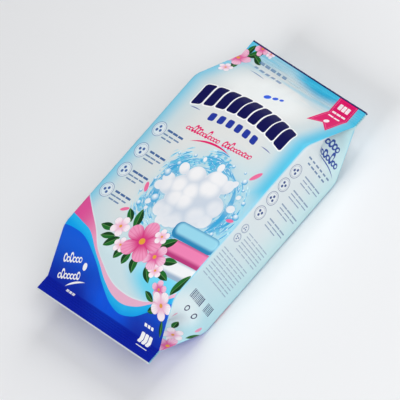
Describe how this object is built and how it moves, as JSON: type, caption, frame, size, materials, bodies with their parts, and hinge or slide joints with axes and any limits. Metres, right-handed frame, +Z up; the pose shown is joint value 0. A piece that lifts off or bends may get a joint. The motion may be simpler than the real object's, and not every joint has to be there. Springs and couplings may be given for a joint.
{
  "type": "washing powder bag",
  "caption": "Sealed side-gusset film bag of washing powder, box-shaped when filled, with flat crimped fins at top and bottom, lying on its back.",
  "frame": {"origin": "on the floor under the middle of the bag's overall box, with the bag lying on its back panel", "axes": "+X across the bag, to the right as its front is read; +Y along the bag from the bottom fin to the top fin; +Z up, out of the front panel"},
  "size_m": [0.1812, 0.335, 0.0771],
  "materials": {
    "printed_film": "satin-gloss laminated film, printed in pale cyan, navy, cyan and pink"
  },
  "bodies": {
    "root": {"powder_bag": "printed_film"}
  },
  "joints": []
}
